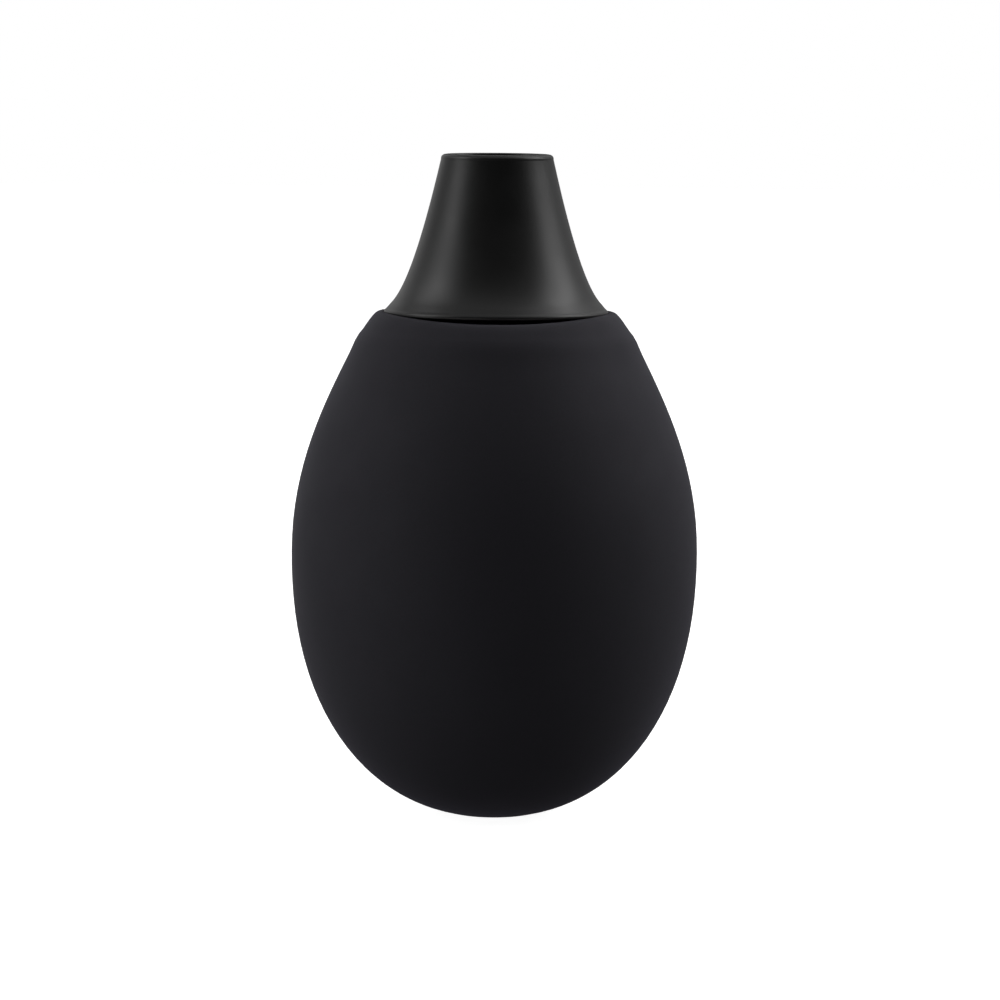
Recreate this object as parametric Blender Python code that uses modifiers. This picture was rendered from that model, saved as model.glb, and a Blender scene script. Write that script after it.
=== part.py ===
"""A watchmaker's dust blower: an egg-shaped silicone bulb under a flared plastic nozzle.

Metres, +Z up. The origin is the centre of the small flat that the bulb stands on, and the
bulb's axis is the Z axis. The jet slides out of the nozzle's mouth, and the thumb presses the
intake valve at the base towards the nozzle, which squeezes the bulb and blows air through the
jet. When the bulb is let go it draws clean air in through the filter and the valve disc.
"""

import math

import bmesh
import bpy

# ---- bulb: an egg with a rounded lower half, a long upper flank and a neck under the nozzle
BULB_RADIUS = 0.0300
EQUATOR_Z = 0.0392
LOWER_HEIGHT = 0.0396  # from the equator to the pole that the flat base cuts off
EGG_POWER = 2.23  # 2 is an ellipse; more is a blunter base
FLANK_TOP = (0.02027, 0.07105)
FLANK_HANDLES = ((0.0300, 0.0531), (0.02395, 0.0633))
SHOULDER_CREST = (0.0168, 0.07442)
SHOULDER_HANDLES = ((0.0192, 0.0722), (0.0182, 0.0745))
WALL = 0.0030
SEAT_Z = 0.0738  # the shallow seat that the nozzle's skirt stands over
SEAT_RADIUS = 0.0165
NECK_RADIUS = 0.0106
NECK_BORE = 0.0079
NECK_TOP_Z = 0.0794
CAVITY_TOP_Z = 0.0702
CAVITY_FLANK_TOP = (0.0160, 0.0690)
CAVITY_FLANK_HANDLES = ((0.0270, 0.0515), (0.0209, 0.0620))
CAVITY_ROOF_HANDLES = ((0.0152, CAVITY_TOP_Z), (0.0140, CAVITY_TOP_Z))
CAVITY_HEIGHT = 0.0364  # below the equator, before the floor cuts it off
CAVITY_FLOOR_Z = 0.0041
BASE_RECESS_RADIUS = 0.0046
BASE_RECESS_DEPTH = 0.00145
BASE_HOLE_RADIUS = 0.0037

# ---- nozzle cone: a flared shell with a web across it, which the gland nut clamps
CONE_FOOT_Z = 0.07445
CONE_FOOT_RADIUS = 0.01635
CONE_FLARE_Z = 0.0749
CONE_TOP = (0.0083, 0.09685)
CONE_HANDLES = ((0.0151, 0.07615), (0.0128, 0.07715))
CONE_WALL = 0.00145
RIM_Z = 0.09765
EDGE_ROUND = 0.00025
WEB_Z = (0.0812, 0.0831)
WEB_BORE = 0.00485

# ---- neck plug: a barbed sleeve in the bulb's neck, a flange on it and a threaded stem
PLUG_BOTTOM_Z = 0.0706
PLUG_SLEEVE_BORE = 0.0048
PLUG_RADIUS = 0.0073
PLUG_BARB = 0.00045
PLUG_BARBS = 3
PLUG_WEB_Z = 0.0792
PLUG_FLANGE_Z = (0.0796, 0.0810)
PLUG_FLANGE_RADIUS = 0.0103
STEM_RADIUS = 0.0046
STEM_TOP_Z = 0.0881
THREAD_DEPTH = 0.0003
THREADS = 4
GLAND_POCKET_RADIUS = 0.00375
GLAND_POCKET_Z = 0.0864
GUIDE_BORE = 0.00235

# ---- clamp ring round the bulb's neck
CLAMP_RADII = (0.01075, 0.0119)
CLAMP_Z = (0.0750, 0.0776)

# ---- gland nut and the O-ring it holds round the jet
NUT_Z = (0.0833, 0.0898)
NUT_CORNER_RADIUS = 0.0065
NUT_BORE = 0.0048
NUT_WEB_Z = 0.0883
O_RING_RADIUS = 0.00298
O_RING_SECTION = 0.00068
O_RING_Z = 0.08725

# ---- jet: a sliding tube with a grooved nose, and the snap ring that stops it
JET_BOTTOM_Z = 0.0469
JET_LENGTH = 0.0497
JET_RADIUS = 0.0022
JET_BORE = 0.0008
JET_NOSE = ((0.0012, 0.0), (0.0018, 0.0006), (0.0018, 0.0012))  # radius, and depth below the top
JET_NECK = ((0.00135, 0.0018), (0.00135, 0.0028), (JET_RADIUS, 0.0048))
RING_GROOVE = (0.0009, 0.0022)  # above the jet's lower end
RING_GROOVE_RADIUS = 0.00185
RING_PLAY = 0.0001
STOP_RING_RADII = (0.0020, 0.0038)
STOP_RING_THICKNESS = 0.0011
STOP_RING_GAP = 0.0026

# ---- intake valve in the base: ferrule, housing, filter, seat, disc and cage
FERRULE_FACE_Z = 0.00035  # the ferrule's face stays clear of the table
FERRULE_RADIUS = 0.0044
FERRULE_THICKNESS = 0.0009
FERRULE_TUBE_RADIUS = 0.0036
FERRULE_TUBE_TOP = 0.0056  # above the face
FERRULE_BEAD = (0.0039, 0.0060)  # the snap bead's radius, and its top above the face
FERRULE_BORE = 0.0030
HOUSING_Z = 0.0043
HOUSING_FLANGE = (0.0082, 0.0011)  # radius and thickness
HOUSING_RADIUS = 0.0070
HOUSING_BORE = 0.0060
HOUSING_FLOOR = 0.0015
HOUSING_HOLE = 0.0037
HOUSING_HEIGHT = 0.0071
FILTER_Z = (0.0066, 0.0082)
FILTER_RADIUS = 0.0058
VALVE_SEAT_Z = 0.0084
VALVE_SEAT_THICKNESS = 0.0008
VALVE_SEAT_HOLE = 0.0020
SEAT_RING_RADII = (0.0023, 0.0029)
SEAT_RING_HEIGHT = 0.0011  # above the seat plate's underside
DISC_Z = 0.00965
DISC_RADIUS = 0.0035
DISC_THICKNESS = 0.0006
CAGE_SKIRT_Z = 0.0094
CAGE_SKIRT_RADII = (0.0049, 0.0058)
CAGE_PLATE_Z = (0.0116, 0.0126)
CAGE_RADIUS = 0.0070
CAGE_HOLE_RADIUS = 0.0007
CAGE_HOLE_CIRCLE = 0.0040
CAGE_HOLES = 8

# ---- fineness of the turned pieces
BIG_SEGMENTS = 48
SMALL_SEGMENTS = 24
MERGE = 1e-6
SHARP_ANGLE = math.radians(35)
CUTTER_MARGIN = 0.001

parts = bpy.data.collections.new("dust_blower_bulb")
cutters = bpy.data.collections.new("cutters")


def clear_scene():
    for obj in list(bpy.data.objects):
        bpy.data.objects.remove(obj)
    bpy.context.scene.collection.children.link(parts)
    bpy.context.scene.collection.children.link(cutters)


# ------------------------------------------------------------------ outlines, as (radius, z)


def bezier(start, first, second, end, steps):
    """Points along a cubic curve, without its start."""
    found = []
    for i in range(1, steps + 1):
        t = i / steps
        weights = ((1 - t) ** 3, 3 * t * (1 - t) ** 2, 3 * t * t * (1 - t), t**3)
        found.append(
            tuple(
                sum(w * p[k] for w, p in zip(weights, (start, first, second, end)))
                for k in range(2)
            )
        )
    return found


def arc(centre, radius, start, end, steps):
    """Points along an arc from one angle to another, in degrees from +r towards +z."""
    found = []
    for i in range(steps + 1):
        a = math.radians(start + (end - start) * i / steps)
        found.append((centre[0] + radius * math.cos(a), centre[1] + radius * math.sin(a)))
    return found


def egg_radius(drop, radius, height):
    """Radius of the egg's lower half, this far below its equator."""
    return radius * (1 - (drop / height) ** EGG_POWER) ** (1 / EGG_POWER)


def egg_lower(radius, height, bottom_z, steps):
    """The lower half from the equator down to bottom_z, closer together towards the base."""
    span = EQUATOR_Z - bottom_z
    found = []
    for i in range(steps + 1):
        drop = span * math.sin(math.pi / 2 * i / steps)
        found.append((egg_radius(drop, radius, height), EQUATOR_Z - drop))
    return found


def inward(points, distance):
    """An outline that runs downwards, moved towards the axis by this much along its normal."""
    found = []
    for i, (r, z) in enumerate(points):
        before, after = points[max(i - 1, 0)], points[min(i + 1, len(points) - 1)]
        dr, dz = after[0] - before[0], after[1] - before[1]
        size = math.hypot(dr, dz)
        found.append((r + distance * dz / size, z - distance * dr / size))
    return found


def radius_at(points, z):
    """Radius of an outline that runs downwards, at a height on it."""
    for (r0, z0), (r1, z1) in zip(points, points[1:]):
        if z1 <= z <= z0:
            return r0 + (r1 - r0) * (z0 - z) / (z0 - z1)
    raise ValueError("the outline doesn't reach that height")


def shifted(points, z):
    return [(r, height - z) for r, height in points]


# ------------------------------------------------------------------ solids


def material(name, colour, roughness, metallic=0.0):
    made = bpy.data.materials.new(name)
    made.use_nodes = True
    shader = made.node_tree.nodes["Principled BSDF"]
    shader.inputs["Base Color"].default_value = (*colour, 1)
    shader.inputs["Roughness"].default_value = roughness
    shader.inputs["Metallic"].default_value = metallic
    return made


def world_z(obj):
    """Height of an object's origin in the world."""
    return obj.location.z + (world_z(obj.parent) if obj.parent else 0.0)


def place(name, data, z, parent=None, collection=parts):
    """A new object on the axis, this high in the world. With no data it is an empty."""
    obj = bpy.data.objects.new(name, data)
    collection.objects.link(obj)
    obj.parent = parent
    obj.location.z = z - (world_z(parent) if parent else 0.0)
    return obj


def shade(mesh):
    mesh.shade_smooth()
    mesh.set_sharp_from_angle(angle=SHARP_ANGLE)


def turned_mesh(name, outline, closed, segments):
    """The outline spun about Z. It runs down its outer side, and back up the inner one if closed."""
    profile = bpy.data.meshes.new(name + "_profile")
    count = len(outline)
    edges = [(i, (i + 1) % count) for i in range(count if closed else count - 1)]
    profile.from_pydata([(r, 0, z) for r, z in outline], edges, [])
    spun = bpy.data.objects.new(name + "_profile", profile)
    bpy.context.scene.collection.objects.link(spun)
    screw = spun.modifiers.new("Turn", "SCREW")
    screw.steps = screw.render_steps = segments
    screw.use_merge_vertices = True
    screw.merge_threshold = MERGE
    bpy.context.view_layer.update()
    graph = bpy.context.evaluated_depsgraph_get()
    mesh = bpy.data.meshes.new_from_object(spun.evaluated_get(graph))
    bpy.data.objects.remove(spun)
    bpy.data.meshes.remove(profile)
    mesh.name = name
    shade(mesh)
    return mesh


def turned(name, outline, look, z, parent=None, closed=True, segments=SMALL_SEGMENTS):
    """A turned piece. Its outline is given in world heights, and its origin is on the axis at z."""
    mesh = turned_mesh(name, shifted(outline, z), closed, segments)
    mesh.materials.append(look)
    return place(name, mesh, z, parent)


def tube_outline(inner, outer, low, high):
    return [(outer, high), (outer, low), (inner, low), (inner, high)]


def drill_mesh(name, radius, circle, count, low, high):
    """Short cylinders standing on a circle, to be cut out of a plate."""
    mesh = bpy.data.meshes.new(name)
    shape = bmesh.new()
    for i in range(count):
        drill = bmesh.ops.create_cone(
            shape, cap_ends=True, segments=12, radius1=radius, radius2=radius, depth=high - low
        )
        angle = 2 * math.pi * i / count
        offset = (circle * math.cos(angle), circle * math.sin(angle), (low + high) / 2)
        bmesh.ops.translate(shape, verts=drill["verts"], vec=offset)
    shape.to_mesh(mesh)
    shape.free()
    return mesh


def cut(obj, cutter_mesh, parent=None):
    """Takes the cutter's mesh, drawn in world heights, out of the object."""
    cutter = place(cutter_mesh.name, cutter_mesh, 0.0, parent, cutters)
    cutter.hide_render = True
    cutter.display_type = "WIRE"
    boolean = obj.modifiers.new("Cut", "BOOLEAN")
    boolean.operation = "DIFFERENCE"
    boolean.solver = "EXACT"
    boolean.object = cutter


def round_edges(obj):
    rounding = obj.modifiers.new("Edges", "BEVEL")
    rounding.width = EDGE_ROUND
    rounding.segments = 2


# ------------------------------------------------------------------ the bulb


def bulb(look):
    outer = [(NECK_RADIUS, NECK_TOP_Z), (NECK_RADIUS, SEAT_Z), (SEAT_RADIUS, SEAT_Z)]
    outer += [(SEAT_RADIUS, SHOULDER_CREST[1] - EDGE_ROUND), SHOULDER_CREST]
    outer += bezier(SHOULDER_CREST, *reversed(SHOULDER_HANDLES), FLANK_TOP, 5)
    outer += bezier(FLANK_TOP, *reversed(FLANK_HANDLES), (BULB_RADIUS, EQUATOR_Z), 9)
    outer += egg_lower(BULB_RADIUS, LOWER_HEIGHT, 0.0, 13)[1:]
    recess_top = BASE_RECESS_DEPTH
    base = [(BASE_RECESS_RADIUS, 0.0), (BASE_RECESS_RADIUS, recess_top)]
    base += [(BASE_HOLE_RADIUS, recess_top), (BASE_HOLE_RADIUS, CAVITY_FLOOR_Z)]
    cavity_radius = BULB_RADIUS - WALL
    inner = egg_lower(cavity_radius, CAVITY_HEIGHT, CAVITY_FLOOR_Z, 9)[::-1]
    inner += bezier(inner[-1], *CAVITY_FLANK_HANDLES, CAVITY_FLANK_TOP, 7)
    inner += bezier(CAVITY_FLANK_TOP, *CAVITY_ROOF_HANDLES, (NECK_BORE, CAVITY_TOP_Z), 4)
    inner.append((NECK_BORE, NECK_TOP_Z))
    turned("bulb", outer + base + inner, look, 0.0, segments=BIG_SEGMENTS)


# ------------------------------------------------------------------ the nozzle end


def flare(steps):
    """The nozzle's outer curve, from under the rim down to the top of its foot."""
    foot = (CONE_FOOT_RADIUS, CONE_FLARE_Z)
    return [CONE_TOP] + bezier(CONE_TOP, *reversed(CONE_HANDLES), foot, steps)


def nozzle_cone(look):
    outer = flare(12)
    inner = inward(outer, CONE_WALL)
    mouth_radius = radius_at(inner, inner[0][1])
    rim_round = CONE_TOP[0] - mouth_radius - 3 * EDGE_ROUND
    rim = arc((mouth_radius + EDGE_ROUND, RIM_Z - EDGE_ROUND), EDGE_ROUND, 180, 90, 2)
    rim += arc((CONE_TOP[0] - rim_round, RIM_Z - rim_round), rim_round, 90, 15, 3)
    foot_centre = (CONE_FOOT_RADIUS - EDGE_ROUND, CONE_FOOT_Z + EDGE_ROUND)
    foot = arc(foot_centre, EDGE_ROUND, 0, -90, 3)
    foot.append((CONE_FOOT_RADIUS - CONE_WALL, CONE_FOOT_Z))
    skirt = [p for p in reversed(inner) if CONE_FOOT_Z + CONE_WALL < p[1] < WEB_Z[0] - EDGE_ROUND]
    web = [(radius_at(inner, WEB_Z[0]), WEB_Z[0]), (WEB_BORE, WEB_Z[0])]
    web += [(WEB_BORE, WEB_Z[1]), (radius_at(inner, WEB_Z[1]), WEB_Z[1])]
    mouth = [p for p in reversed(inner) if p[1] > WEB_Z[1] + EDGE_ROUND]
    outline = rim + outer + foot + skirt + web + mouth
    turned("nozzle_cone", outline, look, CONE_FOOT_Z, segments=BIG_SEGMENTS)


def neck_plug(look):
    stem = [(GLAND_POCKET_RADIUS, STEM_TOP_Z)]
    root = STEM_RADIUS - THREAD_DEPTH
    pitch = (STEM_TOP_Z - WEB_Z[1]) / THREADS
    for i in range(THREADS):
        top = STEM_TOP_Z - i * pitch
        stem += [(root, top), (STEM_RADIUS, top - 0.3 * pitch)]
        stem += [(STEM_RADIUS, top - 0.5 * pitch), (root, top - 0.8 * pitch)]
    stem += [(root, WEB_Z[1]), (STEM_RADIUS, WEB_Z[1] - THREAD_DEPTH)]
    flange = [(STEM_RADIUS, PLUG_FLANGE_Z[1]), (PLUG_FLANGE_RADIUS, PLUG_FLANGE_Z[1])]
    flange += [(PLUG_FLANGE_RADIUS, PLUG_FLANGE_Z[0]), (PLUG_RADIUS, PLUG_FLANGE_Z[0])]
    barbs = []
    barb_pitch = (PLUG_FLANGE_Z[0] - PLUG_BOTTOM_Z) / (PLUG_BARBS + 1)
    for i in range(PLUG_BARBS):
        top = PLUG_FLANGE_Z[0] - (i + 1) * barb_pitch
        barbs += [(PLUG_RADIUS, top), (PLUG_RADIUS + PLUG_BARB, top - PLUG_BARB)]
        barbs += [(PLUG_RADIUS, top - 0.8 * barb_pitch)]
    bottom = [(PLUG_RADIUS - PLUG_BARB, PLUG_BOTTOM_Z), (PLUG_SLEEVE_BORE, PLUG_BOTTOM_Z)]
    guide = [(PLUG_SLEEVE_BORE, PLUG_WEB_Z), (GUIDE_BORE, PLUG_WEB_Z)]
    guide += [(GUIDE_BORE, GLAND_POCKET_Z), (GLAND_POCKET_RADIUS, GLAND_POCKET_Z)]
    turned("neck_plug", stem + flange + barbs + bottom + guide, look, PLUG_FLANGE_Z[0])


def neck_clamp_ring(look):
    outline = tube_outline(*CLAMP_RADII, *CLAMP_Z)
    ring = turned("neck_clamp_ring", outline, look, CLAMP_Z[0], segments=BIG_SEGMENTS)
    round_edges(ring)


def gland_nut(look):
    low, high = NUT_Z
    mesh = bpy.data.meshes.new("gland_nut")
    shape = bmesh.new()
    radius = NUT_CORNER_RADIUS
    bmesh.ops.create_cone(
        shape, cap_ends=True, segments=6, radius1=radius, radius2=radius, depth=high - low
    )
    bmesh.ops.translate(shape, verts=shape.verts, vec=(0, 0, (high - low) / 2))
    shape.to_mesh(mesh)
    shape.free()
    mesh.materials.append(look)
    nut = place("gland_nut", mesh, low)
    round_edges(nut)
    over, under = high + CUTTER_MARGIN, low - CUTTER_MARGIN
    bore = [(0, over), (GUIDE_BORE, over), (GUIDE_BORE, NUT_WEB_Z), (NUT_BORE, NUT_WEB_Z)]
    bore += [(NUT_BORE, under), (0, under)]
    cut(nut, turned_mesh("gland_nut_bore", bore, False, SMALL_SEGMENTS))


def jet_o_ring(look):
    outline = arc((O_RING_RADIUS, O_RING_Z), O_RING_SECTION, 90, -225, 7)
    turned("jet_o_ring", outline, look, O_RING_Z)


def jet_tube(look, jet):
    top = JET_BOTTOM_Z + JET_LENGTH
    nose = [(JET_BORE, top)] + [(radius, top - depth) for radius, depth in JET_NOSE + JET_NECK]
    groove_low, groove_high = (JET_BOTTOM_Z + level for level in RING_GROOVE)
    tail = [(JET_RADIUS, groove_high), (RING_GROOVE_RADIUS, groove_high)]
    tail += [(RING_GROOVE_RADIUS, groove_low), (JET_RADIUS, groove_low)]
    tail += [(JET_RADIUS, JET_BOTTOM_Z + EDGE_ROUND), (JET_RADIUS - EDGE_ROUND, JET_BOTTOM_Z)]
    outline = nose + tail + [(JET_BORE, JET_BOTTOM_Z)]
    turned("jet_tube", outline, look, JET_BOTTOM_Z, jet)


def jet_stop_ring(look, jet):
    """A snap ring in the jet's groove: a flat ring with a gap, so that it springs on."""
    low = JET_BOTTOM_Z + RING_GROOVE[0] + RING_PLAY
    high = low + STOP_RING_THICKNESS
    ring = turned("jet_stop_ring", tube_outline(*STOP_RING_RADII, low, high), look, low, jet)
    mesh = bpy.data.meshes.new("jet_stop_ring_gap")
    shape = bmesh.new()
    reach = STOP_RING_RADII[1] + CUTTER_MARGIN
    size = (reach, STOP_RING_GAP, 4 * STOP_RING_THICKNESS)
    bmesh.ops.create_cube(shape, size=1)
    bmesh.ops.scale(shape, verts=shape.verts, vec=size)
    bmesh.ops.translate(shape, verts=shape.verts, vec=(reach / 2, 0, (low + high) / 2))
    shape.to_mesh(mesh)
    shape.free()
    cut(ring, mesh, jet)


# ------------------------------------------------------------------ the intake valve


def intake_ferrule(look, intake):
    """The flanged inlet tube: it pushes up through the base and snaps into the valve's housing."""
    face = FERRULE_FACE_Z
    flange_top = face + FERRULE_THICKNESS
    tube_top = face + FERRULE_TUBE_TOP
    bead_radius, bead_top = FERRULE_BEAD
    outline = [(FERRULE_TUBE_RADIUS - EDGE_ROUND, face + bead_top)]
    outline += [(bead_radius, tube_top + EDGE_ROUND), (FERRULE_TUBE_RADIUS, tube_top)]
    outline += [(FERRULE_TUBE_RADIUS, flange_top), (FERRULE_RADIUS, flange_top)]
    outline += [(FERRULE_RADIUS, face + EDGE_ROUND), (FERRULE_RADIUS - EDGE_ROUND, face)]
    outline += [(FERRULE_BORE + EDGE_ROUND, face), (FERRULE_BORE, face + EDGE_ROUND)]
    outline += [(FERRULE_BORE, face + bead_top)]
    turned("intake_ferrule", outline, look, face, intake)


def valve_housing(look, intake):
    low, high = HOUSING_Z, HOUSING_Z + HOUSING_HEIGHT
    flange_radius, flange_thickness = HOUSING_FLANGE
    outline = [(HOUSING_RADIUS, high), (HOUSING_RADIUS, low + flange_thickness)]
    outline += [(flange_radius, low + flange_thickness), (flange_radius, low)]
    outline += [(HOUSING_HOLE, low), (HOUSING_HOLE, low + HOUSING_FLOOR)]
    outline += [(HOUSING_BORE, low + HOUSING_FLOOR), (HOUSING_BORE, high)]
    turned("valve_housing", outline, look, low, intake)


def intake_filter(look, intake):
    low, high = FILTER_Z
    outline = [(0, high), (FILTER_RADIUS, high), (FILTER_RADIUS, low), (0, low)]
    turned("intake_filter", outline, look, low, intake, closed=False)


def valve_seat(look, intake):
    low, plate = VALVE_SEAT_Z, VALVE_SEAT_Z + VALVE_SEAT_THICKNESS
    ring_top = low + SEAT_RING_HEIGHT
    ring_inner, ring_outer = SEAT_RING_RADII
    outline = [(ring_inner, ring_top), (ring_outer, ring_top), (ring_outer, plate)]
    outline += [(FILTER_RADIUS, plate), (FILTER_RADIUS, low), (VALVE_SEAT_HOLE, low)]
    outline += [(VALVE_SEAT_HOLE, plate)]
    turned("valve_seat", outline, look, low, intake)


def valve_disc(look, valve):
    low, high = DISC_Z, DISC_Z + DISC_THICKNESS
    outline = [(0, high), (DISC_RADIUS, high), (DISC_RADIUS, low), (0, low)]
    turned("valve_disc", outline, look, low, valve, closed=False)


def valve_cage(look, intake):
    low, high = CAGE_PLATE_Z
    skirt_inner, skirt_outer = CAGE_SKIRT_RADII
    outline = [(0, high), (CAGE_RADIUS, high), (CAGE_RADIUS, low), (skirt_outer, low)]
    outline += [(skirt_outer, CAGE_SKIRT_Z), (skirt_inner, CAGE_SKIRT_Z), (skirt_inner, low), (0, low)]
    cage = turned("valve_cage", outline, look, low, intake, closed=False)
    ends = (low - CUTTER_MARGIN, high + CUTTER_MARGIN)
    drills = drill_mesh("valve_cage_holes", CAGE_HOLE_RADIUS, CAGE_HOLE_CIRCLE, CAGE_HOLES, *ends)
    cut(cage, drills, intake)


# ------------------------------------------------------------------ the object


def main():
    clear_scene()
    silicone = material("black_silicone", (0.014, 0.014, 0.015), 0.62)
    satin = material("satin_black_abs", (0.011, 0.011, 0.012), 0.3)
    acetal = material("black_acetal", (0.02, 0.02, 0.02), 0.4)
    nylon = material("grey_nylon", (0.25, 0.25, 0.25), 0.5)
    seal = material("seal_rubber", (0.02, 0.02, 0.02), 0.55)
    foam = material("filter_foam", (0.6, 0.6, 0.58), 0.9)
    red_silicone = material("valve_silicone", (0.55, 0.16, 0.08), 0.5)
    steel = material("spring_steel", (0.6, 0.6, 0.62), 0.3, 1.0)

    bulb(silicone)
    nozzle_cone(satin)
    neck_plug(nylon)
    neck_clamp_ring(acetal)
    gland_nut(acetal)
    jet_o_ring(seal)

    jet = place("jet_slide", None, JET_BOTTOM_Z)
    jet_tube(acetal, jet)
    jet_stop_ring(steel, jet)

    intake = place("intake_slide", None, FERRULE_FACE_Z)
    intake_ferrule(acetal, intake)
    valve_housing(nylon, intake)
    intake_filter(foam, intake)
    valve_seat(nylon, intake)
    valve_cage(nylon, intake)
    valve = place("valve_lift", None, DISC_Z, intake)
    valve_disc(red_silicone, valve)


main()
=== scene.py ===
"""The looks of the dust blower: a matt silicone bulb under a satin black flared nozzle.

Every turned piece is spun afresh from the outline of its CAD node, with smooth curves, small
roundings on its edges and many more segments. Metres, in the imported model's frame.
"""

import math

import bmesh
import bpy
from mathutils import Matrix, Vector
from mathutils import noise as cells

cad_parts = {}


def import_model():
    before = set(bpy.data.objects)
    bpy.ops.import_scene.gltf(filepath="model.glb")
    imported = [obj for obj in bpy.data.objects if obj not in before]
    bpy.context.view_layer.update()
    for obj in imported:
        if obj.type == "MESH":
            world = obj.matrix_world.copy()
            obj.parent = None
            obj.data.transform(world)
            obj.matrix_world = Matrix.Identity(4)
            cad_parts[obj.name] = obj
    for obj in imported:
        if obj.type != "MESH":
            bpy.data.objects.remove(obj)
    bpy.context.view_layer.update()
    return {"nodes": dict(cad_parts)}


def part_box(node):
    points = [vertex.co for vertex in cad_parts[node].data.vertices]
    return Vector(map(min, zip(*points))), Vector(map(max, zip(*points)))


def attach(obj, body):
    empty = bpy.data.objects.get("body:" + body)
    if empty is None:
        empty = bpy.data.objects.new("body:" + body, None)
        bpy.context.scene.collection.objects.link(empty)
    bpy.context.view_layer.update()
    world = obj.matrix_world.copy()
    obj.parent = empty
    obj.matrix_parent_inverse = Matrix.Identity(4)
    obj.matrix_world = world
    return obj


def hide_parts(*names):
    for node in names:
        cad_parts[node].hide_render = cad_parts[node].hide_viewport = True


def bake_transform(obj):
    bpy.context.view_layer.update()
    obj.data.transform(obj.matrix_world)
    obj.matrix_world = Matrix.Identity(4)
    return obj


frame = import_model()
NODES = frame["nodes"]

# ---- spinning
SEGMENTS = 144
SMALL_SEGMENTS = 72
SAME_POINT = 2e-6
ON_AXIS = 1e-5
CORNER = math.radians(50)  # an outline that turns by more than this has an edge there
CORNER_SHARE = 0.4  # the most that a rounding takes of the lines on either side of its corner
CURVE_STEP = math.radians(4)
STRAIGHT = math.radians(0.5)
LONG_LINE = 4  # a straight line this many times its rounding gets a point near each end
SOFTEST_BEND = 0.5  # the least cosine that a curve's handles are lengthened by
LOPSIDED = 3.0  # a stretch this many times longer than the next one is straight
SHARP = math.radians(40)

# ---- the rubber's lip hugs the nozzle's foot at the sides and sags away from it at the front
LIP_RISE = 0.0002
LIP_SAG = 0.0009
LIP_OPEN = 0.00014  # how far the foot pushes the lip's inner edge out
LIP_INNER = (0.0160, 0.0165)  # radii between which that begins
LIP_OUTER = (0.0168, 0.0176)  # and between which it ends
LIP_ROOT_Z = 0.0710
LIP_POWER = 3  # how closely the rise and the sag keep to the lip
LIP_FADE = (0.0108, 0.0130)  # radii between which the neck's own shape takes over

# ---- the nozzle's foot flares a little further, down to the seat inside that lip
FOOT_Z = (0.0749, 0.0756)  # moved fully below the first, and not at all above the second
FOOT_SHIFT = Vector((0.00022, -0.0004))

# ---- gland nut and the jet's snap ring
NUT_FACES = 6
NUT_CORNER = 0.0004
NUT_CHAMFER = math.radians(28)
NUT_CHAMFER_START = 0.96  # of the distance across the flats

# ---- roundings
BULB_ROUNDING = 0.00035
NOZZLE_ROUNDING = 0.00025
FINE_ROUNDING = 0.00012

# ---- filter foam
FOAM_CELL = 0.00055
FOAM_DEPTH = 0.00014
FOAM_STEP = 0.0001
FOAM_PORE = (0.1, 0.7)  # distances from a cell's centre, in cells, between which its pit fades out

# ---- camera: a long lens, a little above the object
CAMERA_DISTANCE = 0.75
CAMERA_ELEVATION = math.radians(5.3)
CAMERA_ROLL = math.radians(0.44)
CAMERA_LENS = 182.5
CAMERA_AIM = Vector((0.00078, 0.0, 0.0466))

# ---- studio lights: name, azimuth and elevation, width and height, all in degrees, and radiance
LIGHTS = (
    ("right_key", 98, 36, 36, 36, 3.1),
    ("right_high", 124, 56, 34, 30, 0.9),
    ("right_side", 118, 4, 32, 36, 0.3),
    ("left_key", -82, 12, 24, 60, 1.6),
    ("left_high", -95, 40, 40, 28, 1.55),
    ("left_side", -118, 5, 32, 40, 0.25),
    ("left_rear", -152, 5, 36, 44, 0.6),
    ("right_rear", 152, 12, 40, 50, 0.35),
    ("rear_high", 180, 40, 60, 30, 0.5),
    ("top", 0, 80, 60, 60, 0.45),
    ("left_front_low", -38, -28, 56, 30, 0.95),
    ("right_front_low", 38, -28, 56, 30, 0.6),
    ("left_low", -112, -28, 50, 30, 0.3),
    ("right_low", 112, -28, 50, 30, 0.4),
)
LIGHT_DISTANCE = 1.2
LIGHT_TARGET = Vector((0, 0, 0.05))
AMBIENT = 0.01

# ---- floor
FLOOR_SIZE = 6.0
FLOOR_GAP = 0.00002
FLOOR_GLOW = (0.95, 1.0)  # near the object, and from the end of the fade
FLOOR_FADE = (0.04, 0.25)


# ------------------------------------------------------------------ outlines from the frame


def half_plane_links(part):
    """The edges of a turned CAD node that lie in the half-plane y = 0, x >= 0, as a graph."""
    mesh = NODES[part].data
    keys = {}
    for vertex in mesh.vertices:
        x, y, z = vertex.co
        if abs(y) < SAME_POINT and x > -SAME_POINT:
            keys[vertex.index] = (round(max(x, 0) / SAME_POINT), round(z / SAME_POINT))
    links = {key: set() for key in keys.values()}
    for edge in mesh.edges:
        a, b = (keys.get(i) for i in edge.vertices)
        if a and b and a != b:
            links[a].add(b)
            links[b].add(a)
    return links


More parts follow.
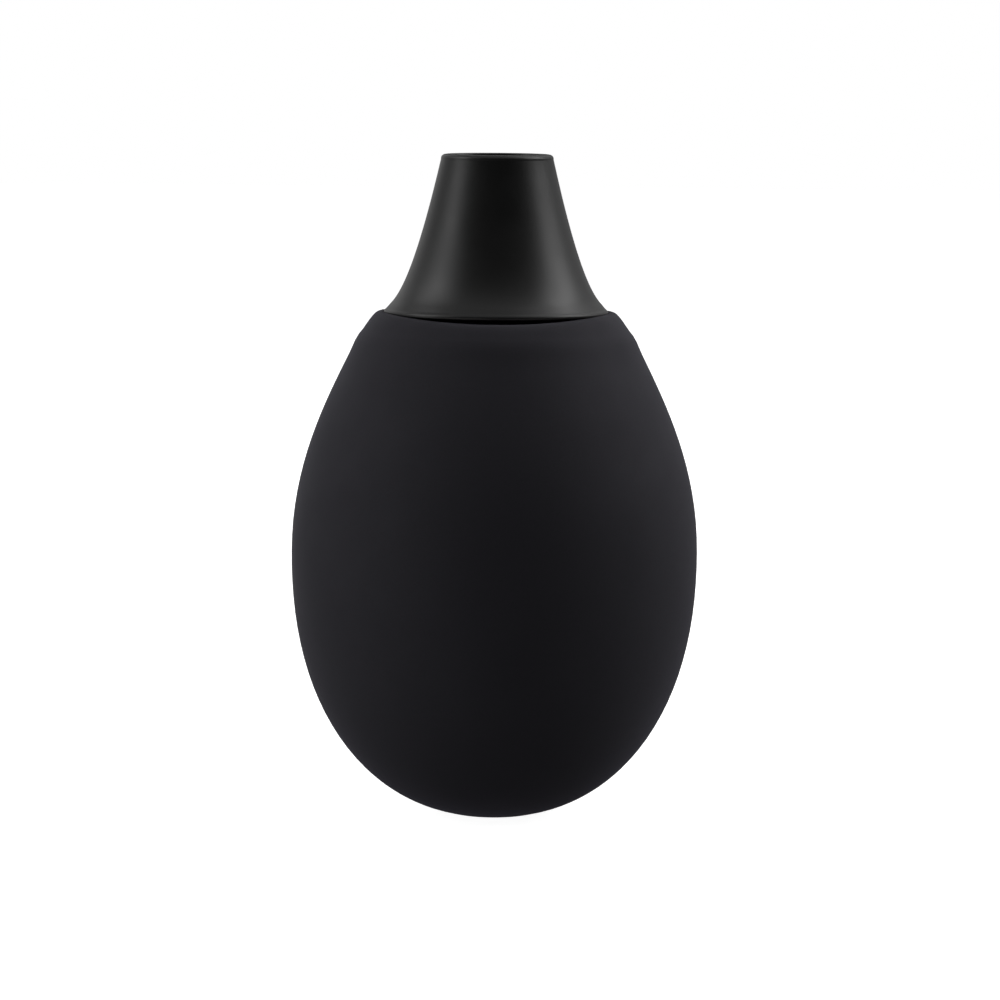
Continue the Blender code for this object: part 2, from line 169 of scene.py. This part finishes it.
def outline_of(part):
    """A turned CAD node's outline as (radius, z), down its outer side from its highest point."""
    links = half_plane_links(part)
    top = max(links, key=lambda key: (key[1], key[0]))
    outline = [top]
    seen = {top}
    while len(seen) < len(links):
        here = outline[-1]
        ahead = [key for key in links[here] if key not in seen]
        if not ahead:
            ahead = [key for key in links if key not in seen]
        if len(outline) == 1:
            following = max(ahead, key=lambda key: key[0])
        else:
            following = min(ahead, key=lambda key: math.dist(key, here))
        outline.append(following)
        seen.add(following)
    if len(outline) == 2:  # a solid disc, whose faces have no vertex at their centres
        outline = [(0, outline[0][1]), *outline, (0, outline[1][1])]
    return [Vector((r * SAME_POINT, z * SAME_POINT)) for r, z in outline]


# ------------------------------------------------------------------ smooth outlines


def on_axis(point):
    return point.x < ON_AXIS


def tangent_at(before, here, after):
    """Direction of the smooth curve through three points, at the middle one."""
    into, out = here - before, after - here
    if into.length > LOPSIDED * out.length:
        return into.normalized()
    if out.length > LOPSIDED * into.length:
        return out.normalized()
    circle = into.normalized() * out.length + out.normalized() * into.length
    return circle.normalized()


def knots_of(outline, rounding):
    """(point, direction in, direction out) along a closed outline, with each corner cut in two."""
    knots = []
    count = len(outline)
    for i, here in enumerate(outline):
        before, after = outline[i - 1], outline[(i + 1) % count]
        into, out = here - before, after - here
        if on_axis(here):
            knots.append((here, into.normalized(), out.normalized()))
        elif into.angle(out) < CORNER:
            tangent = tangent_at(before, here, after)
            knots.append((here, tangent, tangent))
        else:
            cut = min(rounding, CORNER_SHARE * into.length, CORNER_SHARE * out.length)
            first, last = here - into.normalized() * cut, here + out.normalized() * cut
            knots.append((first, into.normalized(), into.normalized()))
            knots.append((last, out.normalized(), out.normalized()))
    return knots


def cubic(start, first, last, end, t):
    """The point at t, from 0 to 1, of the curve between two ends with these handles."""
    s = 1 - t
    return start * s**3 + first * 3 * t * s**2 + last * 3 * t * t * s + end * t**3


def stretch(start, leaving, end, arriving, rounding):
    """Points of the smooth curve from start to end, without its end."""
    chord = end - start
    turning = leaving.angle(chord) + chord.angle(arriving)
    if turning < STRAIGHT:
        supports = [start]
        if chord.length > LONG_LINE * rounding:
            inset = chord.normalized() * rounding
            supports += [start + inset, end - inset]
        return supports
    handle = chord.length / 3 / max(math.cos(turning / 2), SOFTEST_BEND) ** 0.5
    first, last = start + leaving * handle, end - arriving * handle
    steps = max(2, math.ceil(turning / CURVE_STEP))
    return [cubic(start, first, last, end, i / steps) for i in range(steps)]


def smooth(outline, rounding):
    """A closed outline with curves between its points and its corners rounded."""
    knots = knots_of(outline, rounding)
    found = []
    for i, (start, _, leaving) in enumerate(knots):
        end, arriving, _ = knots[(i + 1) % len(knots)]
        if on_axis(start) and on_axis(end):
            found.append(start)
        else:
            found += stretch(start, leaving, end, arriving, rounding)
    return found


# ------------------------------------------------------------------ meshes


def at_angle(point, angle):
    return (point.x * math.cos(angle), point.x * math.sin(angle), point.y)


def ring_of(shape, point, segments):
    """Vertices round the axis at an outline's point, or the one vertex on it."""
    if on_axis(point):
        return [shape.verts.new((0, 0, point.y))]
    return [shape.verts.new(at_angle(point, 2 * math.pi * i / segments)) for i in range(segments)]


def skin_between(shape, upper, lower, around=True):
    """Faces between two rings, either of which may be a single vertex."""
    count = max(len(upper), len(lower))
    for i in range(count if around else count - 1):
        j = (i + 1) % count
        left = [upper[i % len(upper)], lower[i % len(lower)]]
        right = [lower[j % len(lower)], upper[j % len(upper)]]
        shape.faces.new(list(dict.fromkeys(left + right)))  # a lone vertex counts once


def finished(name, shape, look):
    """The object made from a bmesh, shaded smooth except at its edges."""
    mesh = bpy.data.meshes.new(name)
    shape.to_mesh(mesh)
    shape.free()
    mesh.shade_smooth()
    mesh.set_sharp_from_angle(angle=SHARP)
    mesh.materials.append(look)
    obj = bpy.data.objects.new(name, mesh)
    bpy.context.scene.collection.objects.link(obj)
    return obj


def spun(name, outline, segments, look):
    """A closed outline that runs down its outer side, spun about Z."""
    shape = bmesh.new()
    rings = [ring_of(shape, point, segments) for point in outline]
    for upper, lower in zip(rings, rings[1:] + rings[:1]):
        if len(upper) > 1 or len(lower) > 1:
            skin_between(shape, upper, lower)
    return finished(name, shape, look)


def turned(name, part, look, rounding, segments=SMALL_SEGMENTS):
    """A finer piece in place of a turned CAD node."""
    obj = spun(name, smooth(outline_of(part), rounding), segments, look)
    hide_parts(part)
    return obj


def fraction(value, low, high):
    """How far value lies from low to high, from 0 to 1."""
    return min(max((value - low) / (high - low), 0), 1)


# ------------------------------------------------------------------ node materials


# The Mix node repeats its socket names for each type of data. These are the colour ones.
MIX_FIRST, MIX_SECOND, MIX_RESULT = 6, 7, 2


def node(tree, kind, inputs=None, **settings):
    """A new shader node. An input is a value, or the socket that it is linked to."""
    made = tree.nodes.new("ShaderNode" + kind)
    for name, value in settings.items():
        setattr(made, name, value)
    for name, value in (inputs or {}).items():
        if isinstance(value, bpy.types.NodeSocket):
            tree.links.new(value, made.inputs[name])
        else:
            made.inputs[name].default_value = value
    return made


def new_material(name, **values):
    """A material, its tree and its shader, with the shader's plain sockets set."""
    material = bpy.data.materials.new(name)
    material.use_nodes = True
    shader = material.node_tree.nodes["Principled BSDF"]
    for socket, value in values.items():
        shader.inputs[socket.replace("_", " ")].default_value = value
    return material, material.node_tree, shader


def own_coordinates(tree, stretch_by=(1, 1, 1)):
    """The object's own coordinates, so that a texture moves with its piece."""
    place = node(tree, "TexCoord").outputs["Object"]
    return node(tree, "Mapping", {"Vector": place, "Scale": stretch_by}).outputs["Vector"]


def noise(tree, size, detail=2.0, stretch_by=(1, 1, 1)):
    """Noise whose features are about this large, in metres."""
    inputs = {"Vector": own_coordinates(tree, stretch_by), "Scale": 1 / size, "Detail": detail}
    return node(tree, "TexNoise", inputs).outputs["Fac"]


def ranged(tree, value, low, high, source=(0.3, 0.7)):
    """A value spread from low to high, as it runs over its source range."""
    inputs = {"Value": value, "From Min": source[0], "From Max": source[1]}
    inputs |= {"To Min": low, "To Max": high}
    return node(tree, "MapRange", inputs).outputs["Result"]


def blended(tree, factor, first, second):
    """A colour between two others."""
    made = node(tree, "Mix", data_type="RGBA")
    tree.links.new(factor, made.inputs["Factor"])
    made.inputs[MIX_FIRST].default_value = (*first, 1)
    made.inputs[MIX_SECOND].default_value = (*second, 1)
    return made.outputs[MIX_RESULT]


def summed(tree, first, second, weight):
    """first + weight * second"""
    inputs = {0: second, 1: weight, 2: first}
    return node(tree, "Math", inputs, operation="MULTIPLY_ADD").outputs[0]


def raised(tree, shader, height, distance, strength=1.0):
    """Bumps this high, in metres."""
    bump = node(tree, "Bump", {"Height": height, "Distance": distance, "Strength": strength})
    tree.links.new(bump.outputs["Normal"], shader.inputs["Normal"])


def silicone():
    """Soft matt rubber: a fine spark-eroded grain, cloudy patches and a faint violet bloom."""
    material, tree, shader = new_material(
        "matt_black_silicone",
        Specular_Tint=(0.88, 0.855, 1.0, 1),
        Specular_IOR_Level=0.54,
        Sheen_Weight=0.08,
        Sheen_Roughness=0.42,
        Sheen_Tint=(0.8, 0.76, 1.0, 1),
    )
    cloud, grain = noise(tree, 0.009, 3), noise(tree, 0.00022, 3)
    dark, pale = (0.0072, 0.0069, 0.0084), (0.0092, 0.0088, 0.0106)
    colour = blended(tree, ranged(tree, cloud, 0, 1), dark, pale)
    tree.links.new(colour, shader.inputs["Base Color"])
    patchy = summed(tree, cloud, grain, 0.6)
    tree.links.new(ranged(tree, patchy, 0.75, 0.83, (0.55, 1.05)), shader.inputs["Roughness"])
    raised(tree, shader, summed(tree, grain, noise(tree, 0.006), 2.0), 0.000012, 0.6)
    return material


def satin_plastic():
    """Satin moulded ABS: even, with a very fine texture and a slightly handled gloss."""
    material, tree, shader = new_material("satin_black_plastic", Specular_IOR_Level=0.5)
    cloud, grain = noise(tree, 0.006, 3), noise(tree, 0.00012, 2)
    dark, pale = (0.0030, 0.0030, 0.0031), (0.0042, 0.0042, 0.0044)
    colour = blended(tree, ranged(tree, cloud, 0, 1), dark, pale)
    tree.links.new(colour, shader.inputs["Base Color"])
    patchy = summed(tree, cloud, grain, 0.5)
    tree.links.new(ranged(tree, patchy, 0.385, 0.445, (0.5, 1.0)), shader.inputs["Roughness"])
    raised(tree, shader, summed(tree, grain, noise(tree, 0.0025), 1.5), 0.000004, 0.5)
    return material


def acetal():
    """Turned black acetal: fine rings from the tool and a waxy surface."""
    material, tree, shader = new_material("turned_black_acetal")
    rings, cloud = noise(tree, 0.00016, 2, (0.02, 0.02, 1)), noise(tree, 0.0018, 3)
    dark, pale = (0.010, 0.010, 0.0105), (0.017, 0.017, 0.0175)
    colour = blended(tree, ranged(tree, cloud, 0, 1), dark, pale)
    tree.links.new(colour, shader.inputs["Base Color"])
    tree.links.new(ranged(tree, rings, 0.30, 0.42), shader.inputs["Roughness"])
    raised(tree, shader, summed(tree, rings, noise(tree, 0.00008), 0.4), 0.000006)
    return material


def nylon():
    """Grey glass-filled nylon: mottled, with short pale fibres under the skin."""
    material, tree, shader = new_material("grey_filled_nylon")
    cloud, fibre = noise(tree, 0.0014, 4), noise(tree, 0.0001, 2, (1, 1, 0.15))
    mottle = summed(tree, cloud, fibre, 0.5)
    dark, pale = (0.19, 0.19, 0.195), (0.30, 0.30, 0.295)
    colour = blended(tree, ranged(tree, mottle, 0, 1, (0.5, 1.0)), dark, pale)
    tree.links.new(colour, shader.inputs["Base Color"])
    tree.links.new(ranged(tree, fibre, 0.42, 0.58), shader.inputs["Roughness"])
    raised(tree, shader, mottle, 0.000015)
    return material


def seal_rubber():
    """Black nitrile: dull, with the faint bloom that moulded seals have."""
    material, tree, shader = new_material("seal_rubber", Sheen_Weight=0.05, Sheen_Roughness=0.5)
    bloom = noise(tree, 0.0005, 4)
    colour = blended(tree, ranged(tree, bloom, 0, 1), (0.012, 0.012, 0.012), (0.022, 0.022, 0.022))
    tree.links.new(colour, shader.inputs["Base Color"])
    tree.links.new(ranged(tree, bloom, 0.5, 0.62), shader.inputs["Roughness"])
    raised(tree, shader, noise(tree, 0.0001), 0.000008)
    return material


def foam():
    """Open-celled filter foam: pale struts, with painted shade darkening the pores between them.
    """
    material, tree, shader = new_material("filter_foam", Sheen_Weight=0.1)
    pattern = node(tree, "TexVoronoi", {"Vector": own_coordinates(tree), "Scale": 1 / FOAM_CELL})
    nearest = pattern.outputs["Distance"]
    # painted shade: the colour darkens towards each cell's centre, where the pits are
    pore_shade = ranged(tree, nearest, 1, 0, (0.15, 0.6))
    colour = blended(tree, pore_shade, (0.62, 0.62, 0.59), (0.16, 0.16, 0.15))
    tree.links.new(colour, shader.inputs["Base Color"])
    tree.links.new(ranged(tree, noise(tree, 0.0003), 0.85, 1.0), shader.inputs["Roughness"])
    raised(tree, shader, nearest, 0.00008)
    return material


def valve_silicone():
    """Brick-red translucent silicone, a little dusty."""
    material, tree, shader = new_material(
        "red_silicone",
        Subsurface_Weight=0.25,
        Subsurface_Scale=0.0008,
        Subsurface_Radius=(1.0, 0.35, 0.2),
    )
    dust = noise(tree, 0.0007, 4)
    colour = blended(tree, ranged(tree, dust, 0, 1), (0.50, 0.13, 0.065), (0.58, 0.19, 0.105))
    tree.links.new(colour, shader.inputs["Base Color"])
    tree.links.new(ranged(tree, dust, 0.42, 0.58), shader.inputs["Roughness"])
    raised(tree, shader, noise(tree, 0.0002), 0.00001)
    return material


def steel():
    """Spring steel, brushed flat and slightly stained by its heat treatment."""
    material, tree, shader = new_material("spring_steel", Metallic=1.0)
    brush, stain = noise(tree, 0.00005, 2, (1, 0.05, 0.05)), noise(tree, 0.0015, 3)
    colour = blended(tree, ranged(tree, stain, 0, 1), (0.62, 0.62, 0.63), (0.52, 0.49, 0.45))
    tree.links.new(colour, shader.inputs["Base Color"])
    tree.links.new(ranged(tree, brush, 0.22, 0.38), shader.inputs["Roughness"])
    raised(tree, shader, brush, 0.000003)
    return material


# ------------------------------------------------------------------ the bulb and the nozzle


def shape_lip(obj):
    """Opens the turned lip, and moves it up at the sides and down at the front and the back."""
    lip = [v for v in obj.data.vertices if v.co.z > LIP_ROOT_Z and v.co.xy.length > LIP_FADE[0]]
    crest_z = max(v.co.z for v in lip)
    for vertex in lip:
        radius = vertex.co.xy.length
        height = fraction(vertex.co.z, LIP_ROOT_Z, crest_z)
        closeness = height**LIP_POWER * fraction(radius, *LIP_FADE)
        sideways, facing = (vertex.co.x / radius) ** 2, (vertex.co.y / radius) ** 2
        opening = LIP_OPEN * fraction(radius, *LIP_INNER) * (1 - fraction(radius, *LIP_OUTER))
        vertex.co.xy *= 1 + opening / radius
        vertex.co.z += closeness * (LIP_RISE * sideways - LIP_SAG * facing)


def bulb():
    obj = turned("bulb_skin", "bulb", silicone(), BULB_ROUNDING, SEGMENTS)
    shape_lip(obj)
    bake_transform(obj)


def nozzle():
    outline = smooth(outline_of("nozzle_cone"), NOZZLE_ROUNDING)
    for point in outline:
        point += FOOT_SHIFT * (1 - fraction(point.y, *FOOT_Z))
    obj = spun("nozzle_shell", outline, SEGMENTS, satin_plastic())
    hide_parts("nozzle_cone")
    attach(obj, "blower")


def nozzle_fittings(plastic, grey, rubber):
    """The pieces that hold the nozzle on the bulb's neck and guide the jet."""
    plug = turned("plug_sleeve", "neck_plug", grey, FINE_ROUNDING)
    band = turned("clamp_band", "neck_clamp_ring", plastic, FINE_ROUNDING, SEGMENTS)
    seal = turned("seal_ring", "jet_o_ring", rubber, FINE_ROUNDING)
    nut = hexagon_nut(plastic)
    slots = {plug: "grey_nylon", band: "black_acetal", seal: "seal_rubber", nut: "black_acetal"}
    for obj, slot in slots.items():
        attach(obj, "blower")


def hexagon_radius(angle, across_flats, limit):
    """Radius of a hexagon with a corner on +Y, its corners turned down to a limit."""
    sector = 2 * math.pi / NUT_FACES
    off_flat = (angle + sector / 2) % sector - sector / 2
    return min(across_flats / 2 / math.cos(off_flat), limit)


def nut_edges(shape, across_flats, corner_radius, low_z, high_z):
    """The upper and the lower edge of the nut's flats, where a cone chamfers them."""
    angles = [2 * math.pi * i / SMALL_SEGMENTS for i in range(SMALL_SEGMENTS)]
    sides = [hexagon_radius(angle, across_flats, corner_radius) for angle in angles]
    chamfer_radius = NUT_CHAMFER_START * across_flats / 2
    drops = [(side - chamfer_radius) * math.tan(NUT_CHAMFER) for side in sides]
    edge = list(zip(sides, drops, angles))
    upper = [shape.verts.new(at_angle(Vector((r, high_z - d)), a)) for r, d, a in edge]
    lower = [shape.verts.new(at_angle(Vector((r, low_z + d)), a)) for r, d, a in edge]
    return upper, lower


def nut_bore(low_z, high_z):
    """(radius, z) up the nut's stepped bore, with both of its mouths eased."""
    outline = outline_of("gland_nut")
    wide, narrow = max(p.x for p in outline), min(p.x for p in outline)
    web_z = min(p.y for p in outline if p.x < (wide + narrow) / 2)
    bore = [(wide + FINE_ROUNDING, low_z), (wide, low_z + FINE_ROUNDING)]
    bore += [(wide, web_z), (narrow, web_z)]
    return bore + [(narrow, high_z - FINE_ROUNDING), (narrow + FINE_ROUNDING, high_z)]


def hexagon_nut(look):
    """The gland nut with its faces chamfered by a cone, as turned nuts are."""
    (low_x, _, low_z), (high_x, high_y, high_z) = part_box("gland_nut")
    across_flats = high_x - low_x
    chamfer_radius = NUT_CHAMFER_START * across_flats / 2
    shape = bmesh.new()
    upper, lower = nut_edges(shape, across_flats, high_y - NUT_CORNER, low_z, high_z)
    rings = [ring_of(shape, Vector((chamfer_radius, high_z)), SMALL_SEGMENTS), upper, lower]
    inside = [(chamfer_radius, low_z), *nut_bore(low_z, high_z)]
    rings += [ring_of(shape, Vector(point), SMALL_SEGMENTS) for point in inside]
    for first, second in zip(rings, rings[1:] + rings[:1]):
        skin_between(shape, first, second)
    obj = finished("hex_nut", shape, look)
    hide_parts("gland_nut")
    return obj


# ------------------------------------------------------------------ the jet


def jet(plastic):
    tube = turned("jet_body", "jet_tube", plastic, FINE_ROUNDING)
    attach(tube, "jet")
    ring = split_ring(steel())
    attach(ring, "jet")


def split_ring(look):
    """The jet's snap ring: a rounded section carried round to both sides of its gap."""
    low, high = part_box("jet_stop_ring")
    outer = high.y
    corners = [v.co for v in NODES["jet_stop_ring"].data.vertices]
    inner = min(co.xy.length for co in corners)
    half_gap = min(abs(co.y) for co in corners if co.x > (inner + outer) / 2)
    section = [(outer, high.z), (outer, low.z), (inner, low.z), (inner, high.z)]
    section = smooth([Vector(point) for point in section], FINE_ROUNDING)
    start = math.asin(half_gap / outer)
    sweep = 2 * (math.pi - start)
    shape = bmesh.new()
    angles = [start + sweep * i / SMALL_SEGMENTS for i in range(SMALL_SEGMENTS + 1)]
    rows = [[shape.verts.new(at_angle(point, angle)) for angle in angles] for point in section]
    for upper, lower in zip(rows, rows[1:] + rows[:1]):
        skin_between(shape, upper, lower, around=False)
    shape.faces.new([row[0] for row in rows])
    shape.faces.new([row[-1] for row in reversed(rows)])
    obj = finished("snap_ring", shape, look)
    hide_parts("jet_stop_ring")
    return obj


# ------------------------------------------------------------------ the intake valve


def foam_filter():
    """The filter pad, its faces pitted with open cells."""
    corners = outline_of("intake_filter")
    outline = []
    for start, end in zip(corners, corners[1:]):
        steps = math.ceil((end - start).length / FOAM_STEP)
        outline += [start.lerp(end, i / steps) for i in range(steps)]
    obj = spun("foam_pad", outline + corners[-1:], SEGMENTS, foam())
    for vertex in obj.data.vertices:
        nearest = cells.voronoi(vertex.co / FOAM_CELL)[0][0]
        vertex.co -= vertex.normal * FOAM_DEPTH * (1 - fraction(nearest, *FOAM_PORE))
    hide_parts("intake_filter")
    return obj


def intake_valve(plastic, grey):
    pieces = {
        turned("inlet_ferrule", "intake_ferrule", plastic, FINE_ROUNDING): "black_acetal",
        turned("housing_body", "valve_housing", grey, FINE_ROUNDING): "grey_nylon",
        turned("seat_plate", "valve_seat", grey, FINE_ROUNDING): "grey_nylon",
        foam_filter(): "filter_foam",
    }
    for obj, slot in pieces.items():
        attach(obj, "intake")
    disc = turned("flap_disc", "valve_disc", valve_silicone(), FINE_ROUNDING)
    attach(disc, "valve")
    NODES["valve_cage"].data.materials[0] = grey


# ------------------------------------------------------------------ studio


def aimed(away, roll=0.0):
    """Rotation of a camera or a lamp that looks back along this direction."""
    facing = (-away).to_track_quat("-Z", "Y").to_matrix().to_4x4()
    return facing @ Matrix.Rotation(roll, 4, "Z")


def camera():
    data = bpy.data.cameras.new("camera")
    data.lens = CAMERA_LENS
    obj = bpy.data.objects.new("camera", data)
    bpy.context.scene.collection.objects.link(obj)
    away = Vector((0, -math.cos(CAMERA_ELEVATION), math.sin(CAMERA_ELEVATION)))
    place = Matrix.Translation(CAMERA_AIM + away * CAMERA_DISTANCE)
    obj.matrix_world = place @ aimed(away, CAMERA_ROLL)
    bpy.context.scene.camera = obj


def softbox(name, azimuth, elevation, width, height, radiance):
    """A rectangular light aimed at the bulb, its place and size as angles seen from there.

    Azimuth 0 is over the camera and 90 to its right.
    """
    data = bpy.data.lights.new(name, "AREA")
    data.shape = "RECTANGLE"
    data.size = 2 * LIGHT_DISTANCE * math.tan(math.radians(width / 2))
    data.size_y = 2 * LIGHT_DISTANCE * math.tan(math.radians(height / 2))
    data.energy = radiance * math.pi * data.size * data.size_y
    obj = bpy.data.objects.new(name, data)
    bpy.context.scene.collection.objects.link(obj)
    a, e = math.radians(azimuth), math.radians(elevation)
    away = Vector((math.sin(a) * math.cos(e), -math.cos(a) * math.cos(e), math.sin(e)))
    obj.matrix_world = Matrix.Translation(LIGHT_TARGET + away * LIGHT_DISTANCE) @ aimed(away)
    obj.visible_camera = False


def world():
    """White behind the object, and almost dark for what the object reflects."""
    made = bpy.data.worlds.new("studio")
    bpy.context.scene.world = made
    made.use_nodes = True
    tree = made.node_tree
    seen = node(tree, "LightPath").outputs["Is Camera Ray"]
    background = tree.nodes["Background"]
    background.inputs["Color"].default_value = (1, 1, 1, 1)
    tree.links.new(ranged(tree, seen, AMBIENT, 1, (0, 1)), background.inputs["Strength"])


def floor():
    """A white sweep whose glow meets the white behind it with no line. It is clear from below."""
    material, tree, shader = new_material(
        "white_floor", Base_Color=(0.8, 0.8, 0.8, 1), Roughness=0.9, Emission_Color=(1, 1, 1, 1)
    )
    length = node(tree, "VectorMath", {0: own_coordinates(tree)}, operation="LENGTH")
    glow = ranged(tree, length.outputs["Value"], *FLOOR_GLOW, FLOOR_FADE)
    tree.links.new(glow, shader.inputs["Emission Strength"])
    from_below = node(tree, "NewGeometry").outputs["Backfacing"]
    clear = node(tree, "BsdfTransparent").outputs["BSDF"]
    either = node(tree, "MixShader", {0: from_below, 1: shader.outputs["BSDF"], 2: clear})
    tree.links.new(either.outputs["Shader"], tree.nodes["Material Output"].inputs["Surface"])
    shape = bmesh.new()
    bmesh.ops.create_grid(shape, x_segments=1, y_segments=1, size=FLOOR_SIZE / 2)
    obj = finished("floor", shape, material)
    obj.location.z = -FLOOR_GAP
    obj.visible_diffuse = False
    obj.visible_glossy = False
    obj.visible_shadow = False  # the low lights are the glow that a lit white table throws up


# ------------------------------------------------------------------ the scene


def main():
    bpy.context.scene.view_settings.view_transform = "Standard"
    plastic, grey, rubber = acetal(), nylon(), seal_rubber()
    bulb()
    nozzle()
    nozzle_fittings(plastic, grey, rubber)
    jet(plastic)
    intake_valve(plastic, grey)
    camera()
    for lamp in LIGHTS:
        softbox(*lamp)
    world()
    floor()


main()
